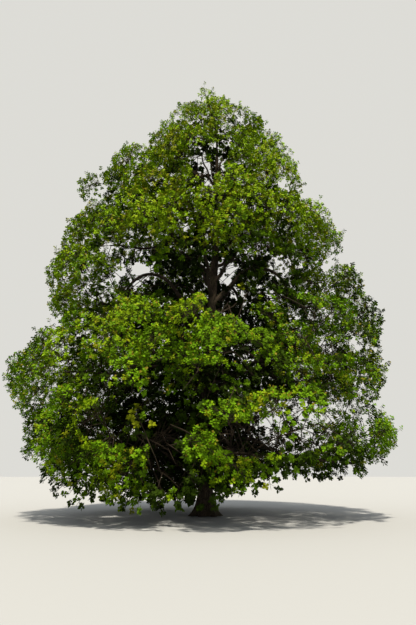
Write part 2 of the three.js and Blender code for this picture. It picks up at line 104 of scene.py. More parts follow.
# Windows on the same plane, where leaves are left out in front: the share of the sprays that keep
# theirs, the share of the tufts left on those, how far back the window reaches (Y), and its parts
windows = [
    # limbs that show: the trunk, the left arch, the right fork and the forks of the top
    (0.1, 1, 0.1, [
        (0.15, 9.8, 0.3, 1.3), (-1.0, 8.8, 0.6, 0.35), (-2.0, 9.2, 0.6, 0.35),
        (-3.2, 9.2, 0.6, 0.35), (-3.0, 9.5, 0.9, 0.3), (0.8, 9.5, 0.4, 0.4), (1.4, 10.1, 0.4, 0.4),
        (2.0, 10.7, 0.4, 0.4), (0.1, 14.2, 0.35, 0.6), (-0.45, 14.9, 0.3, 0.4),
        (0.6, 14.8, 0.35, 0.45)]),
    # shade between the pads, low in front and at the right shoulder
    (0.1, 1, -1.5, [
        (-2.7, 3.5, 2.4, 1.0), (-1.5, 1.8, 0.8, 0.9), (1.7, 2.8, 1.3, 0.7), (4.0, 9.4, 1.2, 0.6)]),
    # the pads at a quarter of the height, a little thinner
    (0.5, 1, -2.6, [(-1.0, 5.0, 3.2, 0.8)]),
    # the top fork, open right through
    (0.18, 1, 9, [(-0.2, 14.7, 0.42, 0.5), (0.15, 13.9, 0.25, 0.25)]),
    # flanks through which specks of sky show
    (0.6, 0.85, 9, [
        (-4.5, 9.2, 0.9, 0.8), (3.4, 10.0, 0.8, 0.4), (5.4, 3.4, 1.0, 1.0)]),
    # low on the right, hanging in rags before the sky
    (0.35, 0.5, 9, [(3.3, 3.3, 1.7, 1.1)]),
    # tops of the front pads, near the trunk
    (0.25, 1, -2.2, [
        (3.0, 7.9, 1.7, 0.8), (4.4, 7.2, 1.0, 0.5), (-4.5, 8.3, 0.9, 0.5), (1.0, 8.4, 1.0, 0.6)]),
    # hollows: half-way up on the left, and lower on the right
    (0.3, 1, 0, [(-3.2, 10.9, 1.2, 0.8), (1.6, 6.2, 1.0, 0.5)]),
    # shade between the pads on both flanks
    (0.3, 1, -0.2, [
        (4.6, 7.8, 1.3, 0.3), (5.0, 6.4, 1.4, 0.3), (4.0, 5.2, 1.3, 0.3), (-4.4, 7.0, 1.2, 0.26),
        (-4.9, 5.6, 1.3, 0.28), (-3.9, 4.6, 1.2, 0.26)]),
]


def inGap(points, gaps, grown=1.0):
    nearer = eye["distance"] / (eye["distance"] + points[:, 1])
    across = points[:, 0] * nearer
    height = eye["height"] + (points[:, 2] - eye["height"]) * nearer
    inside = np.zeros(len(points), bool)
    for middle, level, wide, high in gaps:
        inside |= np.hypot((across - middle) / wide, (height - level) / high) < grown
    return inside


# An even scatter of values from 0 to 1 on three axes, the same at every run. The index picks the
# value, and a limb uses a few fixed ones.

evenSteps = (0.8191725134, 0.6710436067, 0.5497004779)
seedStep = 0.6180339887
limbDraws = {"lift": 3, "side": 5, "phase": 7}


def scatter(seed, index, axis):
    value = (seed + 1) * seedStep * (axis + 1) + (np.asarray(index) + 1) * evenSteps[axis]
    return value - np.floor(value)


# Curves: a list of control points, walked in even steps

curveSteps = 200


def curvePoint(control, t):
    points = [np.asarray(point, float)[None, :] for point in control]
    t = np.atleast_1d(t)[:, None]
    while len(points) > 1:
        points = [a + (b - a) * t for a, b in zip(points, points[1:])]
    return points[0]


def lengthsAlong(control):
    t = np.linspace(0, 1, curveSteps + 1)
    steps = np.linalg.norm(np.diff(curvePoint(control, t), axis=0), axis=1)
    return t, np.concatenate([[0], np.cumsum(steps)])


def walk(control, shares):
    t, lengths = lengthsAlong(control)
    return curvePoint(control, np.interp(np.asarray(shares, float) * lengths[-1], lengths, t))


def unit(vectors):
    return vectors / np.maximum(np.linalg.norm(vectors, axis=-1, keepdims=True), tiny)


# Trunk and boughs, as lines with a radius

trunk = {
    "top": 15.6, "radius": 0.29, "vanish": 17.0, "taper": 0.65,
    "lean": 0.56, "leanBend": (1.75, -0.8),
    "sway": 0.07, "swayTurn": 2.2, "weave": 0.06, "weaveTurn": 1.6,
    "flare": 0.3, "flareFade": 0.3,
    "lobes": [(7, 1.0, 0.9), (3, 0.45, 2.1)],  # count, share, turn
    "lobeDepth": 0.2, "lobeFade": 0.62,
    "sides": 48, "rings": 60,
    "ringCrowding": 1.6,  # how much closer the rings stand low down
    "checkSteps": 14,  # steps of the line that sprays keep clear of
}


def trunkCentre(height):
    share = height / trunk["top"]
    lean = trunk["lean"] * share ** 2 * (trunk["leanBend"][0] + trunk["leanBend"][1] * share)
    sway = trunk["sway"] * math.sin(math.pi * trunk["swayTurn"] * share)
    weave = trunk["weave"] * math.sin(math.pi * trunk["weaveTurn"] * share)
    return np.array([lean - sway, weave, height])


def trunkRadius(height, angle):
    stem = trunk["radius"] * (1 - height / trunk["vanish"]) ** trunk["taper"]
    flare = trunk["flare"] * math.exp(-height / trunk["flareFade"])
    lobes = sum(share * math.cos(count * angle + turn) for count, share, turn in trunk["lobes"])
    return (stem + flare) * (1 + trunk["lobeDepth"] * lobes * math.exp(-height / trunk["lobeFade"]))


boughs = {
    "tip": 0.5,  # share of the radius left at the tip
    "leave": 0.33, "arrive": 0.3, "hang": 0.5, "wander": 0.17,
    "collarSwell": 0.4, "collarLength": 0.08,
    "sides": 16, "rings": 30,
    "kink": 0.045,  # how far the line strays from its curve
    "kinkTurns": (17, 13),
    "swells": 3, "swellShare": 0.06, "swellTwist": 0.3,  # low ridges round it
    "checkSteps": 10,
}
stems = {"ease": 0.35, "bow": 0.06, "hang": 0.7, "taper": 0.65, "forks": 10, "lastFork": 0.97,
         "rings": 8, "sides": 8}

# Tiers of the crown, from the ground up. height, half: middle and half height of its masses;
# angles: where each stands round the trunk; swing: how far it spreads to either side, in degrees;
# start, span: where boughs leave the trunk; radius: theirs there; enter: share of the crown's
# radius where they end; rise: how steeply they leave; arch: how far they bow up; fall: how much the
# foliage hangs; spray: size of its sprays
tiers = {
    "skirt": {"height": 2.25, "half": 1.7, "angles": [233, 287, 338, 35, 100, 170], "swing": 34,
        "start": 1.75, "span": 1.5, "radius": 0.118, "enter": 0.4, "rise": 0.25,
        "arch": 0.5, "fall": -0.3, "spray": 1.0},
    "lower": {"height": 5.25, "half": 1.8, "angles": [262, 322, 15, 75, 138, 200], "swing": 34,
        "start": 3.65, "span": 1.5, "radius": 0.112, "enter": 0.4, "rise": 0.45,
        "arch": 0.35, "fall": -0.2, "spray": 1.0},
    "middle": {"height": 8.1, "half": 1.8, "angles": [188, 130, 60, 354], "swing": 36,
        "start": 6.9, "span": 1.2, "radius": 0.104, "enter": 0.56, "rise": 1.2,
        "arch": 2.9, "fall": -0.15, "spray": 1.0},
    "upper": {"height": 10.7, "half": 1.8, "angles": [262, 338, 40, 110, 186], "swing": 42,
        "start": 8.45, "span": 1.3, "radius": 0.092, "enter": 0.38, "rise": 0.9,
        "arch": 0.2, "fall": 0.0, "spray": 1.0},
    "shoulder": {"height": 13.4, "half": 1.8, "angles": [238, 316, 55, 172], "swing": 58,
        "start": 10.9, "span": 1.0, "radius": 0.072, "enter": 0.34, "rise": 1.0,
        "arch": 0.1, "fall": 0.05, "spray": 0.9},
    "high": {"height": 15.8, "half": 1.6, "angles": [262, 18, 145], "swing": 66,
        "start": 13.0, "span": 0.9, "radius": 0.054, "enter": 0.3, "rise": 1.1,
        "arch": 0.05, "fall": 0.15, "spray": 0.8},
}
leader = {"height": 17.65, "half": 1.3, "swing": 180, "spray": 0.75, "seed": 50,
          "rise": 0.9, "aside": 0.06, "below": 0.81, "stem": 0.9}
tierSeeds = 7  # seeds kept for each tier
massReach = 0.7
massLift = 0.35
limbGap = 0.0003


def boughRadius(tier, share):
    swell = 1 + boughs["collarSwell"] * np.exp(-share / boughs["collarLength"])
    return tier["radius"] * (1 - (1 - boughs["tip"]) * share) * swell


def plannedMass(tierName, level, index):
    tier = tiers[tierName]
    angle = tier["angles"][index]
    seed = level * tierSeeds + index
    count = len(tier["angles"])
    # neighbours leave the trunk at different heights
    order = (index * 2) % count + (1 if count % 2 == 0 and index * 2 >= count else 0)
    turn = math.radians(angle)
    out = np.array([math.cos(turn), math.sin(turn), 0.0])
    side = np.array([-out[1], out[0], 0.0])
    radius = float(crownRadius(tier["height"], angle))
    level = tier["height"] + massLift * (scatter(seed, limbDraws["lift"], 0) - 0.5)
    middle = out * radius * massReach + up * level
    entry = out * radius * tier["enter"] + up * (level - boughs["hang"] * tier["fall"])
    start = trunkCentre(tier["start"] + tier["span"] * order / (count - 1))
    reach = math.hypot(*(entry - start)[:2])
    wander = side * boughs["wander"]
    wander = wander * (1 if scatter(seed, limbDraws["side"], 1) > 0.5 else -1)
    leave = (start + out * reach * boughs["leave"] + wander
             + up * reach * boughs["leave"] * tier["rise"])
    arrive = entry - out * reach * boughs["arrive"] - wander + up * tier["arch"]
    bough = [start, leave, arrive, entry]
    lead = unit(entry - curvePoint(bough, nearEnd)[0])
    end = out * (float(crownRadius(level, angle)) - sprays["length"] * tier["spray"] ** 2)
    end = end + up * (level + stems["hang"] * tier["fall"])
    stemReach = np.linalg.norm(end - entry)
    stemStart = entry + lead * limbGap
    stem = [
        stemStart,
        stemStart + lead * stemReach * stems["ease"],
        end - out * stemReach * stems["ease"] + up * stemReach * stems["bow"],
        end,
    ]
    return {"name": f"{tierName}_{index + 1}", "tier": tier, "seed": seed, "angle": angle,
            "middle": middle, "bough": bough, "stem": stem,
            "stemRadius": tier["radius"] * boughs["tip"]}


def plannedLeader():
    entry = trunkCentre(trunk["top"])
    stem = [
        entry + up * limbGap,
        entry + up * leader["rise"],
        np.array([leader["aside"], 0, crown["height"] - leader["below"]]),
    ]
    return {"name": "leader", "tier": leader, "seed": leader["seed"], "angle": 0,
            "bough": None, "stem": stem, "middle": np.array([entry[0] / 2, 0, leader["height"]]),
            "stemRadius": trunkRadius(trunk["top"], 0) * leader["stem"]}


# Sprays: where each branchlet with its leaves lies, by the rule that gave the solids theirs

sprays = {
    "length": 1.8, "width": 0.78, "thickness": 0.16,
    "sizes": (1.0, 0.8), "spacing": 1.06, "apart": 1.6, "inset": 0.3, "clearance": 0.11,
    "tries": 500, "innerShare": 0.45, "innerRarity": 5,
    "upward": (0.25, 1.1), "swing": 50, "turn": 70,
    "tip": 0.75, "tipSeat": 0.3, "tipFacing": (0, -0.6, 1),
    "seatBack": 0.12, "seatAside": 0.06,
    "twigThickness": 0.5, "twigForks": (0.15, 0.27, 0.4, 0.52),
    "forkDelay": 0.3, "crossingCost": 1.5,
    "twigChecks": 8,  # points of a twig that are looked at
    "otherSeeds": 0.5,  # added to a mass's seed for a second set of values
}
# Smaller sprays that fill in behind and between the large ones
fillers = {
    "size": 0.56, "firstIndex": 1000, "tries": 2200, "depth": (0.14, 0.92), "spacing": 0.82,
    # in masses below this height they start further out and stand closer
    "closeBelow": 3.4, "closeDepth": 0.03, "closeSpacing": 0.66,
    "core": 0.45,  # deeper than this their leaves are those of the core
    "openAt": 0.45,  # how much of a sky gap they leave open
    "clearance": 0.15, "twigRadius": 0.016,
    "stemSpots": (0.1, 12),  # where twigs may start on the stem: from what share on, how many
    "twigSpots": (0.3, 4),  # and on a larger twig
}
mostSprays = 8000
farAway = 1e3
cornerSpots = np.array([
    (1, 0, 0), (-1, 0, 0), (0, 1, 0), (0, -1, 0), (0, 0, 1), (0, 0, -1),
    (0.5, 0.5, 0), (0.5, -0.5, 0), (-0.5, 0.5, 0), (-0.5, -0.5, 0), (0.5, 0, 0), (-0.5, 0, 0),
])


def turnedAbout(vectors, axes, angles):
    cos, sin = np.cos(angles)[:, None], np.sin(angles)[:, None]
    along = (vectors * axes).sum(1, keepdims=True)
    return vectors * cos + np.cross(axes, vectors) * sin + axes * along * (1 - cos)


def halfSizes(length):
    return np.array([1, sprays["width"], sprays["thickness"]]) * length / 2


# A spray is its middle, its three directions as rows and its length
def sprayCandidates(mass, size, index, inward):
    tier = mass["tier"]
    height = mass["middle"][2] + tier["half"] * (2 * scatter(mass["seed"], index, 0) - 1)
    angle = mass["angle"] + tier["swing"] * (2 * scatter(mass["seed"], index, 1) - 1)
    length = sprays["length"] * tier["spray"] * size
    radius = np.maximum(crownRadius(height, angle) - length * sprays["inset"], 0) * (1 - inward)
    turn = np.radians(angle)
    middles = np.stack([np.cos(turn) * radius, np.sin(turn) * radius, height], 1)
    seed = mass["seed"] + sprays["otherSeeds"]
    outward = unit(middles * np.array([1.0, 1.0, 0.0]))
    swing = np.radians(sprays["swing"]) * (2 * scatter(seed, index, 1) - 1)
    outward = turnedAbout(outward, np.tile(up, (len(index), 1)), swing)
    low, high = sprays["upward"]
    facing = unit(outward + up * (low + (high - low) * scatter(seed, index, 2))[:, None])
    direction = unit(outward - facing * (outward * facing).sum(1, keepdims=True))
    twist = np.radians(sprays["turn"]) * (2 * scatter(seed, index, 0) - 1)
    direction = unit(turnedAbout(direction, facing, twist))
    axes = np.stack([direction, np.cross(facing, direction), facing], 1)
    corners = middles[:, None] + np.einsum("ck,nkj->ncj", cornerSpots * halfSizes(length), axes)
    return middles, axes, corners, length


def inSpace(points, mass):
    inside = inCrown(points) & (np.abs(points[:, 2] - mass["middle"][2]) <= mass["tier"]["half"])
    own = ((points - mass["middle"]) ** 2).sum(1)
    for other in masses:
        if other is not mass:
            apart = np.linalg.norm(other["middle"] - mass["middle"])
            lead = ((points - other["middle"]) ** 2).sum(1) - own
            inside &= lead > crown["cellGap"] * apart
    return inside


def clearOfLimbs(points, clearance):
    run = limbEnds - limbStarts
    offset = points[:, None] - limbStarts
    share = np.clip((offset * run).sum(2) / np.maximum((run ** 2).sum(1), tiny), 0, 1)
    distance = np.linalg.norm(offset - run * share[:, :, None], axis=2)
    return (distance > limbRadii + clearance).all(1)


def reachesInto(corners, other):
    offset = (corners - other["middle"]) @ other["axes"].T / halfSizes(other["length"])
    offset[:, 2] /= sprays["apart"]
    return bool((np.abs(offset).sum(1) < 1).any())


def fits(spray, taken):
    for other in taken:
        apart = np.linalg.norm(other["middle"] - spray["middle"])
        if apart < sprays["length"]:
            share = (other["length"] + spray["length"]) / (2 * sprays["length"])
            if apart <= sprays["spacing"] * share:
                return False
            if reachesInto(spray["corners"], other) or reachesInto(other["corners"], spray):
                return False
    return bool(clearOfLimbs(spray["corners"], sprays["clearance"]).all())


def tipSpray(mass):
    end = walk(mass["stem"], [1])[0]
    ahead = unit(end - curvePoint(mass["stem"], nearEnd)[0])
    length = sprays["length"] * mass["tier"]["spray"] * sprays["tip"]
    across = unit(np.cross(unit(np.array(sprays["tipFacing"])), ahead))
    axes = np.stack([ahead, across, np.cross(ahead, across)])
    middle = end + ahead * length * sprays["tipSeat"]
    corners = middle + (cornerSpots * halfSizes(length)) @ axes
    return {"middle": middle, "axes": axes, "corners": corners, "length": length,
            "kind": 0, "tip": True}


def spraysOf(mass, taken):
    found = []
    first = tipSpray(mass)
    if inSpace(first["corners"][:6], mass).all() and fits(first, taken):
        found.append(first)
        taken.append(first)
    index = np.arange(sprays["tries"])
    inward = sprays["innerShare"] * scatter(mass["seed"], index, 2) ** sprays["innerRarity"]
    for size in sprays["sizes"]:
        middles, axes, corners, length = sprayCandidates(mass, size, index, inward)
        inside = inSpace(corners[:, :6].reshape(-1, 3), mass).reshape(-1, 6).all(1)
        inside &= ~inGap(middles, sprayGaps)
        for i in np.flatnonzero(inside):
            spray = {"middle": middles[i], "axes": axes[i], "corners": corners[i],
                     "length": length, "kind": 0, "tip": False}
            if fits(spray, taken):
                found.append(spray)
                taken.append(spray)
    return found


# Twigs: each spray is joined to the free fork that gives the shortest way from the stem's foot

def passesThrough(start, end, spray):
    begin = (start - spray["middle"]) @ spray["axes"].T
    finish = (end - spray["middle"]) @ spray["axes"].T
    if begin[2] * finish[2] > 0:
        return False
    meeting = begin + (finish - begin) * begin[2] / (begin[2] - finish[2])
    return float((np.abs(meeting[:2]) / halfSizes(spray["length"])[:2]).sum()) < 1


def forksAlong(line, length, shares, radii, wayBefore, onStem):
    return [{"point": point, "radius": radius * sprays["twigThickness"],
             "way": wayBefore + length * share, "onStem": onStem}
            for point, share, radius in zip(line, shares, radii)]


def stemRadiusAt(mass, share):
    return mass["stemRadius"] * (1 - (1 - stems["taper"]) * share)


# The sprays that a clear twig reaches, each with the fork that its twig grows from
def joinedSprays(mass, taken):
    shares = stems["lastFork"] * np.arange(1, stems["forks"] + 1) / stems["forks"]
    length = lengthsAlong(mass["stem"])[1][-1]
    forks = forksAlong(walk(mass["stem"], shares), length, shares,
                       stemRadiusAt(mass, shares), 0, True)
    foot = mass["stem"][0]
    found = spraysOf(mass, taken)
    found.sort(key=lambda spray: np.linalg.norm(spray["middle"] - foot))
    joined = []
    for spray in found:
        if spray["tip"]:
            spray["fork"] = None
            spray["seat"] = mass["stem"][-1]
            joined.append(spray)
            continue
        direction, across, facing = spray["axes"]
        seat = spray["middle"] - direction * spray["length"] * sprays["seatBack"]
        seat = seat + across * spray["length"] * sprays["seatAside"]

        def cost(fork):
            crossed = sum(other is not spray and passesThrough(fork["point"], seat, other)
                          for other in found)
            way = np.linalg.norm(fork["point"] - seat) + sprays["forkDelay"] * fork["way"]
            return way + sprays["crossingCost"] * crossed

        fork = min(forks, key=cost)
        checks = np.linspace(0, 1, sprays["twigChecks"] + 1)[1:, None]
        line = fork["point"] + (seat - fork["point"]) * checks
        if not (clearOfLimbs(line, sprays["clearance"] / 2).all() and inSpace(line, mass).all()):
            continue
        spray["fork"] = fork
        spray["seat"] = seat
        joined.append(spray)
        forks = [other for other in forks if other is not fork]
        if fork["onStem"]:
            shares = np.array(sprays["twigForks"])
            points = fork["point"] + (seat - fork["point"]) * shares[:, None]
            length = np.linalg.norm(seat - fork["point"])
            forks += forksAlong(points, length, shares, fork["radius"] * (1 - shares),
                                fork["way"], False)
    return joined


# The smaller sprays of a mass, each on a twig from the nearest part of its stem or larger twigs.
# Kind 1 lies in the shade and kind 2 in the core.
def fillerSprays(mass):
    index = np.arange(fillers["tries"]) + fillers["firstIndex"]
    low, high = fillers["depth"]
    spacing = fillers["spacing"]
    if mass["middle"][2] < fillers["closeBelow"]:
        low = fillers["closeDepth"]
        spacing = fillers["closeSpacing"]
    inward = low + (high - low) * scatter(mass["seed"], index, 2)
    middles, axes, corners, length = sprayCandidates(mass, fillers["size"], index, inward)
    inside = inSpace(middles, mass) & clearOfLimbs(middles, fillers["clearance"])
    inside &= ~inGap(middles, sprayGaps, fillers["openAt"])
    first, count = fillers["stemSpots"]
    twigPoints = [walk(mass["stem"], np.linspace(first, 1, count))]
    first, count = fillers["twigSpots"]
    for spray in mass["sprays"]:
        if spray["fork"] is not None:
            start = spray["fork"]["point"]
            shares = np.linspace(first, 1, count)[:, None]
            twigPoints.append(start + (spray["seat"] - start) * shares)
    twigPoints = np.concatenate(twigPoints)
    found = []
    for i in np.flatnonzero(inside):
        if np.linalg.norm(takenMiddles - middles[i], axis=1).min() < spacing:
            continue
        nearest = twigPoints[np.argmin(np.linalg.norm(twigPoints - middles[i], axis=1))]
        spray = {"middle": middles[i], "axes": axes[i], "length": length,
                 "kind": 2 if inward[i] > fillers["core"] else 1,
                 "fork": {"point": nearest, "radius": fillers["twigRadius"]},
                 "seat": middles[i] - axes[i][0] * length * sprays["seatBack"]}
        takenMiddles[len(takenSprays)] = middles[i]
        takenSprays.append(spray)
        found.append(spray)
    return found


print("planning the crown")
masses = [plannedMass(name, level, index) for level, name in enumerate(tiers)
          for index in range(len(tiers[name]["angles"]))]
trunkLine = [trunkCentre(trunk["top"] * step / trunk["checkSteps"])
             for step in range(trunk["checkSteps"] + 1)]
limbLines = [(trunkLine, [trunkRadius(point[2], 0) for point in trunkLine])]
for mass in masses:
    steps = np.linspace(0, 1, boughs["checkSteps"] + 1)
    limbLines.append((walk(mass["bough"], steps), boughRadius(mass["tier"], steps)))
limbStarts = np.concatenate([np.array(line)[:-1] for line, radii in limbLines])
limbEnds = np.concatenate([np.array(line)[1:] for line, radii in limbLines])
limbRadii = np.concatenate([np.maximum(np.array(radii)[:-1], np.array(radii)[1:])
                            for line, radii in limbLines])
masses.append(plannedLeader())
takenSprays = []
for mass in masses:
    mass["sprays"] = joinedSprays(mass, takenSprays)
takenMiddles = np.full((mostSprays, 3), farAway)
takenMiddles[:len(takenSprays)] = [spray["middle"] for spray in takenSprays]
print(f"{sum(len(mass['sprays']) for mass in masses)} large sprays")
for mass in masses:
    mass["sprays"] += fillerSprays(mass)
print(f"{sum(len(mass['sprays']) for mass in masses)} sprays in {len(masses)} masses")


# Materials

def linear(hexColour):
    channels = [int(hexColour[i:i + 2], 16) / 255 for i in (1, 3, 5)]
    return [c / 12.92 if c <= 0.04045 else ((c + 0.055) / 1.055) ** 2.4 for c in channels] + [1]


def addNode(material, kind, links=(), **settings):
    node = material.node_tree.nodes.new("ShaderNode" + kind)
    for name, value in settings.items():
        if hasattr(node, name):
            setattr(node, name, value)
        else:
            node.inputs[name.replace("_", " ")].default_value = value
    for socket, source in links:
        material.node_tree.links.new(source, node.inputs[socket])
    return node


def newMaterial(name, settings):
    material = bpy.data.materials.new(name)
    material.use_nodes = True
    shader = material.node_tree.nodes["Principled BSDF"]
    for socket, value in settings.items():
        shader.inputs[socket].default_value = value
    return material, shader


# Oak leaves in early summer: a firm skin, whose wax is kept dull here so that the green stays deep
# in pale light. Sprays and tufts differ in green, and the youngest leaves are still bronze.
leafSkin = {"Roughness": 0.5, "IOR": 1.42, "Specular IOR Level": 0.03}
# Name: colour, and its shares of the outer sprays high up and low down, in the shade, in the core.
# The lighter greens high up are painted light; the darker greens low down, in the shade and in the
# core are painted shade
leafLooks = {
    "oakLeafMid": ("#65800e", (0.42, 0.2, 0.08, 0)),
    "oakLeafBright": ("#709110", (0.31, 0.04, 0, 0)),
    "oakLeafDeep": ("#47650c", (0.02, 0.34, 0.28, 0.08)),
    "oakLeafGreen": ("#557a0f", (0.04, 0.35, 0.04, 0)),
    "oakLeafOlive": ("#6b7512", (0.15, 0.06, 0.03, 0)),
    "oakLeafYoung": ("#7d941a", (0.06, 0.01, 0, 0)),
    # Painted shade: the darkest greens, for the leaves of sprays deep in the crown
    "oakLeafPaintedShade": ("#26370a", (0, 0, 0.57, 0.32)),
    "oakLeafCorePaintedShade": ("#162106", (0, 0, 0, 0.6)),
    "oakLeafBronze": ("#66611c", (0, 0, 0, 0)),
}
# Outer sprays change from the low shares, darker greens of painted shade, to the high ones, lighter
# greens of painted light, between two heights, sooner on the left
greens = {"from": 5.6, "to": 10.4, "sideFall": 0.07}
# Half-way up on the right, the side away from the light, some of them have the darker greens of the
# shade: painted shade
paintedSideShade = {"from": -2, "growth": 0.08, "most": 0.4, "height": 6.2, "half": 2.6}
leafMaterials = [newMaterial(name, {"Base Color": linear(colour), **leafSkin})[0]
                 for name, (colour, shares) in leafLooks.items()]

# Oak bark: dull grey-brown plates between dark upright fissures, green with algae in patches
bark = {
    "fissure": "#1d1712", "plate": "#443b31", "algae": "#3c4028",
    "ridge": 0.045,  # spacing of the upright ridges
    "young": 0.6,  # theirs on the boughs, as a share of it
    "stretch": 5,  # how many times longer than wide they are
    "trunkDepth": 0.03, "boughDepth": 0.012, "level": 0.4,
    "edge": 0.16,  # share of a plate that its dark edge takes
    "plateFrom": 0.62,
    "grain": 0.006, "grainDetail": 3,
    "patches": 2.2, "patchDetail": 4,  # patches of algae to a metre
    "algaeFrom": 0.5, "algaeTo": 0.75, "algaeMost": 0.45,
    "bump": 0.7, "bumpDepth": 0.02,
    "skin": {"Roughness": 0.93, "Specular IOR Level": 0.25},
}
mixFirst, mixSecond, mixResult = 6, 7, 2  # the Mix node's sockets for colours


def barkMaterial(name, ridge):
    material, shader = newMaterial(name, bark["skin"])
    link = material.node_tree.links.new
    place = addNode(material, "TexCoord")
    upright = addNode(material, "Mapping", [("Vector", place.outputs["Object"])],
                      Scale=(1, 1, 1 / bark["stretch"]))
    stretched = [("Vector", upright.outputs["Vector"])]
    plates = addNode(material, "TexVoronoi", stretched, feature="DISTANCE_TO_EDGE", Scale=1 / ridge)
    grain = addNode(material, "TexNoise", stretched, Scale=1 / bark["grain"],
                    Detail=bark["grainDetail"])
    patches = addNode(material, "TexNoise", [("Vector", place.outputs["Object"])],
                      Scale=bark["patches"], Detail=bark["patchDetail"])
    depth = addNode(material, "MapRange", [("Value", plates.outputs["Distance"])],
                    From_Max=bark["edge"])
    tone = addNode(material, "Math", [(0, depth.outputs["Result"]), (1, grain.outputs["Fac"])],
                   operation="MULTIPLY")
    colours = addNode(material, "ValToRGB", [("Fac", tone.outputs["Value"])])
    fissure, plate = colours.color_ramp.elements
    fissure.color = linear(bark["fissure"])
    plate.color = linear(bark["plate"])
    plate.position = bark["plateFrom"]
    algae = addNode(material, "MapRange", [("Value", patches.outputs["Fac"])],
                    From_Min=bark["algaeFrom"], From_Max=bark["algaeTo"], To_Max=bark["algaeMost"])
    mixed = addNode(material, "Mix", data_type="RGBA")
    link(algae.outputs["Result"], mixed.inputs["Factor"])
    link(colours.outputs["Color"], mixed.inputs[mixFirst])
    mixed.inputs[mixSecond].default_value = linear(bark["algae"])
    link(mixed.outputs[mixResult], shader.inputs["Base Color"])
    bump = addNode(material, "Bump", [("Height", tone.outputs["Value"])],
                   Strength=bark["bump"], Distance=bark["bumpDepth"])
    link(bump.outputs["Normal"], shader.inputs["Normal"])
    return material


trunkBark = barkMaterial("oakBarkOld", bark["ridge"])
limbBark = barkMaterial("oakBarkYoung", bark["ridge"] * bark["young"])
# The thin bark of twigs, smoother, which gives dark lines with a faint shine
twigSkin = newMaterial("oakTwigSkin", {"Base Color": linear("#2c251d"), "Roughness": 0.8,
                                       "Specular IOR Level": 0.15})[0]


# Modelling helpers

def applyModifier(piece, kind, **settings):
    bpy.ops.object.select_all(action="DESELECT")
    piece.select_set(True)
    bpy.context.view_layer.objects.active = piece
    modifier = piece.modifiers.new(kind.lower(), kind)
    for name, value in settings.items():
        setattr(modifier, name, value)
    bpy.ops.object.modifier_apply(modifier=modifier.name)


def finishPiece(piece, material, nodes):
    piece.data.materials.clear()
    piece.data.materials.append(material)
    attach(piece, "root")
    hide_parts(*nodes)


# A ring of vertices is drawn out along a line, one extrusion for each step, and turned to face
# along it
def drawOut(name, centres, tangents, sides, radiusAt):
    bpy.ops.object.select_all(action="DESELECT")
    bpy.ops.mesh.primitive_circle_add(vertices=sides, radius=1, fill_type="NGON")
    piece = bpy.context.object
    piece.name = name
    piece.data.name = name
    bpy.ops.object.mode_set(mode="EDIT")
    for step in range(len(centres) - 1):
        bpy.ops.mesh.extrude_region_move(TRANSFORM_OT_translate={"value": (0, 0, 1)})
    bpy.ops.object.mode_set(mode="OBJECT")
    count = len(piece.data.vertices)
    coords = np.empty(count * 3)
    piece.data.vertices.foreach_get("co", coords)
    coords = coords.reshape(-1, 3)
    rings = np.rint(coords[:, 2]).astype(int)
    turn = np.arctan2(coords[:, 1], coords[:, 0])
    side, front = carriedFrames(tangents)
    radii = np.array([radiusAt(ring, angle) for ring, angle in zip(rings, turn)])
    spots = side[rings] * np.cos(turn)[:, None] + front[rings] * np.sin(turn)[:, None]
    piece.data.vertices.foreach_set("co", (centres[rings] + spots * radii[:, None]).ravel())
    piece.data.update()
    return piece


# Two directions across a line, carried along it without twisting. They start from X, or from Y
# where the line itself lies along X.
alongX = 0.8


def carriedFrames(tangents):
    side = np.zeros_like(tangents)
    start = np.array([1.0, 0, 0]) if abs(tangents[0][0]) < alongX else np.array([0, 1.0, 0])
    side[0] = unit(start - tangents[0] * (start @ tangents[0]))
    for i in range(1, len(tangents)):
        side[i] = unit(side[i - 1] - tangents[i] * (side[i - 1] @ tangents[i]))
    return side, np.cross(tangents, side)


def tangentsOf(centres):
    return unit(np.gradient(centres, axis=0))


# Upright bark ridges, pushed in along a stretched pattern
def pressBark(piece, ridge, depth):
    bpy.ops.object.empty_add(location=(0, 0, 0))
    stretcher = bpy.context.object
    stretcher.scale = (1, 1, bark["stretch"])
    ridges = bpy.data.textures.new("barkRidges", "VORONOI")
    ridges.noise_scale = ridge
    ridges.weight_1, ridges.weight_2 = -1, 1
    applyModifier(piece, "DISPLACE", texture=ridges, texture_coords="OBJECT",
                  texture_coords_object=stretcher, strength=depth, mid_level=bark["level"])
    bpy.data.objects.remove(stretcher)


print("trunk")
trunkSteps = np.arange(trunk["rings"] + 1) / trunk["rings"]
trunkHeights = trunk["top"] * trunkSteps ** trunk["ringCrowding"]
trunkCentres = np.array([trunkCentre(height) for height in trunkHeights])
trunkPiece = drawOut("trunk_bark", trunkCentres, np.tile(up, (len(trunkHeights), 1)),
                     trunk["sides"], lambda ring, angle: trunkRadius(trunkHeights[ring], angle))
applyModifier(trunkPiece, "SUBSURF", levels=2, render_levels=2)
pressBark(trunkPiece, bark["ridge"], bark["trunkDepth"])
finishPiece(trunkPiece, trunkBark, ["trunk"])

print("boughs")


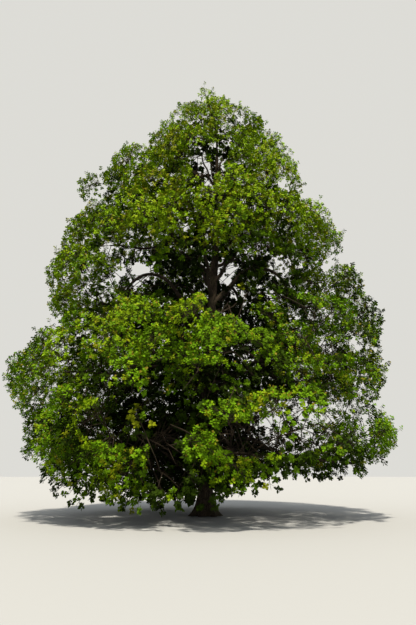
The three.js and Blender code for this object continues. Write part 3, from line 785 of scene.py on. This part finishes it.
def growBough(mass):
    shares = np.linspace(0, 1, boughs["rings"] + 1)
    centres = walk(mass["bough"], shares)
    side, front = carriedFrames(tangentsOf(centres))
    phase = scatter(mass["seed"], limbDraws["phase"], 0) * fullTurn
    stray = boughs["kink"] * np.sin(shares * math.pi)
    sideTurns, frontTurns = boughs["kinkTurns"]
    centres = centres + side * (stray * np.sin(shares * sideTurns + phase))[:, None]
    centres = centres + front * (stray * np.cos(shares * frontTurns + phase))[:, None]
    radii = boughRadius(mass["tier"], shares)

    def swollen(ring, angle):
        turn = boughs["swells"] * angle + phase + ring * boughs["swellTwist"]
        return radii[ring] * (1 + boughs["swellShare"] * math.sin(turn))

    piece = drawOut(f"bough_{mass['name']}_bark", centres, tangentsOf(centres), boughs["sides"],
                    swollen)
    applyModifier(piece, "SUBSURF", levels=1, render_levels=1)
    pressBark(piece, bark["ridge"] * bark["young"], bark["boughDepth"])
    finishPiece(piece, limbBark, [f"bough_{mass['name']}"])


for mass in masses[:-1]:
    growBough(mass)


# Meshes from arrays

def meshPiece(name, vertices, faces, materials, slots=None):
    mesh = bpy.data.meshes.new(name)
    mesh.vertices.add(len(vertices))
    mesh.vertices.foreach_set("co", np.asarray(vertices, np.float32).ravel())
    mesh.loops.add(len(faces) * 3)
    mesh.loops.foreach_set("vertex_index", np.asarray(faces, np.int32).ravel())
    mesh.polygons.add(len(faces))
    mesh.polygons.foreach_set("loop_start", np.arange(0, len(faces) * 3, 3, dtype=np.int32))
    for material in materials:
        mesh.materials.append(material)
    if slots is not None:
        mesh.polygons.foreach_set("material_index", np.asarray(slots, np.int32))
    mesh.update(calc_edges=True)
    piece = bpy.data.objects.new(name, mesh)
    bpy.context.scene.collection.objects.link(piece)
    return piece


# Directions round the points of a line, at even turns
def spokes(side, front, count):
    turns = (np.arange(count) * 2 * math.pi / count)[None, :, None]
    return side[:, None] * np.cos(turns) + front[:, None] * np.sin(turns)


# A tapering twig along a line of points, closed at both ends
def twigMesh(points, radii, sides):
    points = np.asarray(points, float)
    side, front = carriedFrames(tangentsOf(points))
    ring = spokes(side, front, sides) * np.asarray(radii)[:, None, None]
    vertices = (points[:, None] + ring).reshape(-1, 3)
    faces = []
    for step in range(len(points) - 1):
        for i in range(sides):
            a, b = step * sides + i, step * sides + (i + 1) % sides
            faces += [(a, b, b + sides), (a, b + sides, a + sides)]
    last = (len(points) - 1) * sides
    for i in range(1, sides - 1):
        faces += [(0, i + 1, i), (last, last + i, last + i + 1)]
    return vertices, np.array(faces)


# Many three-sided shoots at once, each running to a point and closed at its foot
def shootCones(starts, ends):
    run = unit(ends - starts)
    side = unit(np.cross(run, np.array(tufts["askew"])))
    ring = spokes(side, np.cross(run, side), 3) * tufts["shootRadius"]
    vertices = np.concatenate([starts[:, None] + ring, ends[:, None]], 1)
    faces = np.array([(0, 1, 3), (1, 2, 3), (2, 0, 3), (0, 2, 1)])
    faces = faces[None] + (np.arange(len(starts)) * 4)[:, None, None]
    return vertices.reshape(-1, 3), faces.reshape(-1, 3)


# Tufts and leaves. A spray is a low dome of tufts on side shoots from its midrib, and a tuft is
# a rosette of leaves round the end of its shoot.
tufts = {
    "perSpray": (65, 30, 18),  # on a spray 1.8 m long, outside, in the shade and in the core
    "fewest": 5,
    "dome": 0.26, "droop": 0.12,  # its rise and its edge's fall, as shares of the spray's length
    "jitter": 0.1, "tilt": 0.15, "lift": 0.25,
    "facing": (0.55, 0.35, 0.35),  # how much a tuft faces outwards, as its spray does, and up
    "shootRadius": 0.006,
    "askew": (0.31, 0.17, 0.93),  # a direction that no shoot lies along
    # where shoots leave the midrib, as shares of its half length
    "shootBack": 0.1, "shootLean": 0.5, "shootRange": (-0.45, 0.8), "shootLift": 0.02,
    # share of the outer tufts whose shoot goes on to a second tuft
    "sprigs": 0.12, "sprigLength": (0.08, 0.28), "sprigLift": 0.25,
    "ownColour": 0.4,  # share of a spray's tufts in its own green
    "bronze": 0.35,  # share of the tufts whose youngest leaves are still bronze
    "keptInGaps": 0.35, "gapEdge": 0.75, "clearance": 0.03,
}
leaves = {
    "spread": (0.95, 1.65),  # angle from the tuft's axis, in radians
    "vary": 0.22, "turnVary": 0.25, "leanVary": 0.16,
    "facing": (0.9, 0.1),  # how much a leaf faces as its tuft does, and up
    "facingVary": 0.42,
    "shoot": 0.11,  # length of shoot that the leaves are spread along
    "fold": 0.28, "curl": 0.16,
}
# Twigs from fork to spray and the midribs that they go on as, by kind of spray: outer, shade, core
twigs = {
    "bow": 0.09, "points": (5, 4, 4), "sides": (5, 3, 3),
    "midribRadius": 0.014, "midribTaper": np.array([0.4, 1, 0.7, 0.25]), "midribSides": (4, 3, 3),
    # how far it runs back and ahead from the spray's middle
    "midribBack": 0.24, "midribAhead": 0.42,
}
# Outer leaves are lobed, and leaves in the shade larger and plain. Outline: along, across
kite = [(0, 2, 1), (0, 3, 2)]
leafKinds = [
    {"perTuft": 9, "length": 0.094, "bronze": 1,
     "outline": [(0, 0), (0.56, 0.36), (1, 0.03), (0.74, -0.34), (0.34, -0.24)],
     "faces": kite + [(0, 4, 3)]},
    {"perTuft": 12, "length": 0.126, "bronze": 0,
     "outline": [(0, 0), (0.6, 0.36), (1, 0), (0.6, -0.36)], "faces": kite},
    {"perTuft": 13, "length": 0.172, "bronze": 0,
     "outline": [(0, 0), (0.6, 0.38), (1, 0), (0.6, -0.38)], "faces": kite},
]


def leafShape(outline):
    along, across = np.array(outline).T
    through = leaves["fold"] * np.abs(across) - leaves["curl"] * along ** 2
    return np.stack([along, across, through], 1)


# Where a spray's tufts stand, where their shoots start and which way they face
def tuftSpots(spray, random):
    length = spray["length"]
    most = tufts["perSpray"][spray["kind"]]
    count = max(tufts["fewest"], round(most * (length / sprays["length"]) ** 2))
    index = np.arange(count)
    reach = np.sqrt((index + 0.5) / count)
    turn = index * goldenAngle + random.uniform(0, fullTurn)
    along = reach * np.cos(turn) + random.uniform(-1, 1, count) * tufts["jitter"]
    across = reach * np.sin(turn) + random.uniform(-1, 1, count) * tufts["jitter"]
    height = tufts["dome"] * (1 - reach ** 2) - tufts["droop"] * reach ** 4
    height = height + random.uniform(-0.5, 0.5, count) * tufts["jitter"]
    direction, side, facing = spray["axes"]
    half = length / 2
    spots = (spray["middle"] + np.outer(along * half, direction)
             + np.outer(across * half * sprays["width"], side) + np.outer(height * length, facing))
    fork = along - tufts["shootLean"] * np.abs(across) - tufts["shootBack"]
    fork = np.clip(fork, *tufts["shootRange"])
    forks = (spray["middle"] + np.outer(fork * half, direction)
             + facing * length * tufts["shootLift"])
    outward = unit(spots - spray["middle"] + facing * length * tufts["lift"])
    away, asSpray, upward = tufts["facing"]
    axis = unit(outward * away + facing * asSpray + up * upward
                + random.normal(0, tufts["tilt"], (count, 3)))
    if spray["kind"] == 0:
        further = np.flatnonzero(random.random(count) < tufts["sprigs"])
        lengths = random.uniform(*tufts["sprigLength"], len(further))
        ahead = unit(axis[further] + up * tufts["sprigLift"])
        forks = np.concatenate([forks, spots[further]])
        spots = np.concatenate([spots, spots[further] + ahead * lengths[:, None]])
        axis = np.concatenate([axis, ahead])
    return spots, forks, axis


# Leaves of one kind round the ends of their shoots
def leafParts(kind, spots, axes, colours, random):
    count = kind["perTuft"]
    total = len(spots) * count
    axis = np.repeat(axes, count, 0)
    index = np.tile(np.arange(count), len(spots))
    side = unit(np.cross(axis, np.array([1.0, 0, 0])))
    front = np.cross(axis, side)
    turn = index * goldenAngle + np.repeat(random.uniform(0, fullTurn, len(spots)), count)
    turn = turn + random.normal(0, leaves["turnVary"], total)
    low, high = leaves["spread"]
    lean = low + (high - low) * (index / count) + random.normal(0, leaves["leanVary"], total)
    radial = side * np.cos(turn)[:, None] + front * np.sin(turn)[:, None]
    direction = axis * np.cos(lean)[:, None] + radial * np.sin(lean)[:, None]
    asTuft, upward = leaves["facing"]
    normal = unit(axis * asTuft + up * upward
                  + random.normal(0, leaves["facingVary"], (total, 3)))
    across = unit(np.cross(normal, direction))
    normal = np.cross(direction, across)
    length = kind["length"] * (1 + leaves["vary"] * random.uniform(-1, 1, total))
    base = np.repeat(spots, count, 0) - axis * (leaves["shoot"] * index / count)[:, None]
    frames = np.stack([direction, across, normal], 1) * length[:, None, None]
    vertices = base[:, None] + np.einsum("pk,nkj->npj", leafShape(kind["outline"]), frames)
    firsts = np.arange(total) * len(kind["outline"])
    faces = np.array(kind["faces"])[None] + firsts[:, None, None]
    young = np.repeat(random.random(len(spots)) < tufts["bronze"], count)
    young &= index < kind["bronze"]
    slots = np.where(young, len(leafLooks) - 1, np.repeat(colours, count))
    return vertices.reshape(-1, 3), faces.reshape(-1, 3), np.repeat(slots, len(kind["faces"]))


def joinedParts(parts):
    offsets = np.cumsum([0] + [len(part[0]) for part in parts])
    vertices = np.concatenate([part[0] for part in parts])
    return vertices, np.concatenate([part[1] + offset for part, offset in zip(parts, offsets)])


# The tufts that keep their leaves, clear of the sky gaps, the windows and the limbs
def keptTufts(mass, number, places, random):
    keep = ~inGap(places, sprayGaps, tufts["gapEdge"])
    keep |= random.random(len(places)) < tufts["keptInGaps"]
    luck = float(scatter(mass["seed"], number, 1))
    for spraysLeft, tuftsLeft, back, parts in windows:
        left = luck <= spraysLeft and random.random(len(places)) < tuftsLeft
        keep &= left | ~inGap(places, parts) | (places[:, 1] > back)
    return keep & clearOfLimbs(places, tufts["clearance"])


def sprayTwig(spray):
    start, seat = spray["fork"]["point"], spray["seat"]
    bend = (start + seat) / 2 + up * np.linalg.norm(seat - start) * twigs["bow"]
    count = twigs["points"][spray["kind"]]
    line = walk([start, bend, seat], np.linspace(0, 1, count))
    radii = np.linspace(spray["fork"]["radius"], twigs["midribRadius"], count)
    return twigMesh(line, radii, twigs["sides"][spray["kind"]])


def midribTwig(spray):
    direction, middle, seat = spray["axes"][0], spray["middle"], spray["seat"]
    tip = middle + direction * spray["length"] * twigs["midribAhead"]
    back = middle - direction * spray["length"] * twigs["midribBack"]
    line = np.array([back, seat, (seat + tip) / 2, tip])
    radii = twigs["midribTaper"] * twigs["midribRadius"]
    return twigMesh(line, radii, twigs["midribSides"][spray["kind"]])


# One green for the spray and others dealt out to single tufts
def tuftColours(spray, count, random):
    highUp, lowDown, shade, core = lookShares
    across, height = spray["middle"][0], spray["middle"][2]
    risen = (height - greens["from"]) / (greens["to"] - greens["from"])
    # Painted light and shade: lighter greens high up and on the left, darker greens low down
    sunny = random.random() <= risen - across * greens["sideFall"]
    # Painted shade on the right half-way up, the side away from the light
    dusky = random.random() < min((across - paintedSideShade["from"]) * paintedSideShade["growth"], paintedSideShade["most"])
    if spray["kind"]:
        shares = (shade, core)[spray["kind"] - 1]
    elif dusky and abs(height - paintedSideShade["height"]) < paintedSideShade["half"]:
        shares = shade
    else:
        shares = highUp if sunny else lowDown
    own = random.choice(len(leafLooks), p=shares)
    others = random.choice(len(leafLooks), count, p=shares)
    return np.where(random.random(count) < tufts["ownColour"], own, others)


def growMass(mass, random):
    steps = np.linspace(0, 1, stems["rings"] + 1)
    twigParts = [twigMesh(walk(mass["stem"], steps), stemRadiusAt(mass, steps), stems["sides"])]
    places = [[] for kind in leafKinds]
    for number, spray in enumerate(mass["sprays"]):
        spots, forks, axis = tuftSpots(spray, random)
        keep = keptTufts(mass, number, spots, random)
        spots, forks, axis = spots[keep], forks[keep], axis[keep]
        bare = not len(spots)
        if spray["fork"] is not None and not (bare and spray["kind"]):
            twigParts.append(sprayTwig(spray))
        if bare:
            continue
        twigParts.append(midribTwig(spray))
        twigParts.append(shootCones(forks, spots))
        colours = tuftColours(spray, len(spots), random)
        places[spray["kind"]].append((spots, axis, colours))
    parts = [leafParts(kind, *[np.concatenate(values) for values in zip(*found)], random)
             for kind, found in zip(leafKinds, places) if found]
    slots = np.concatenate([part[2] for part in parts])
    leafPiece = meshPiece(f"leaves_{mass['name']}", *joinedParts(parts), leafMaterials, slots)
    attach(leafPiece, "root")
    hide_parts(f"foliage_{mass['name']}")

    twigPiece = meshPiece(f"twigs_{mass['name']}", *joinedParts(twigParts), [twigSkin])
    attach(twigPiece, "root")
    return len(leafPiece.data.polygons), len(twigPiece.data.polygons)


print("leaves")
lookShares = np.array([shares for colour, shares in leafLooks.values()]).T
firstRandom = 100
counts = [growMass(mass, np.random.default_rng(firstRandom + number))
          for number, mass in enumerate(masses)]
leafCount, twigCount = np.sum(counts, axis=0)
print(f"{leafCount} leaf faces, {twigCount} twig faces")


# Floor, light and camera

stage = {"floor": "#969ba2", "roughness": 0.9, "reach": 150, "drop": 0.005, "sides": 64,
         "world": "#f4f3ed", "worldStrength": 0.8}
# Matte board, which gives the shadow a plain pale ground
floorMaterial = newMaterial("matteFloor", {"Base Color": linear(stage["floor"]),
                                           "Roughness": stage["roughness"]})[0]
bpy.ops.object.select_all(action="DESELECT")
bpy.ops.mesh.primitive_circle_add(vertices=stage["sides"], radius=stage["reach"],
                                  fill_type="NGON", location=(0, 0, -stage["drop"]))
floor = bpy.context.object
floor.name = "floor"
floor.data.materials.append(floorMaterial)

scene = bpy.context.scene
world = scene.world or bpy.data.worlds.new("studio")
scene.world = world
world.use_nodes = True
background = world.node_tree.nodes["Background"]
background.inputs["Color"].default_value = linear(stage["world"])
background.inputs["Strength"].default_value = stage["worldStrength"]

scene.view_settings.view_transform = "Standard"
key = {"energy": 7, "colour": "#fff0d6", "softness": 4, "from": (0.0, -0.5, 0.87),
       "place": (-20, -30, 50)}
bpy.ops.object.light_add(type="SUN", location=key["place"])
sun = bpy.context.object
sun.data.energy = key["energy"]
sun.data.color = linear(key["colour"])[:3]
sun.data.angle = math.radians(key["softness"])
toward = unit(np.array(key["from"]))
sun.rotation_euler = (math.acos(toward[2]), 0, math.atan2(toward[1], toward[0]) + math.pi / 2)

view = {"aside": 0.08, "pitch": 16.36, "lens": 31.1, "farthest": 500}
bpy.ops.object.camera_add(location=(view["aside"], -eye["distance"], eye["height"]),
                          rotation=(math.radians(90 + view["pitch"]), 0, 0))
camera = bpy.context.object
camera.data.lens = view["lens"]
camera.data.clip_end = view["farthest"]
scene.camera = camera
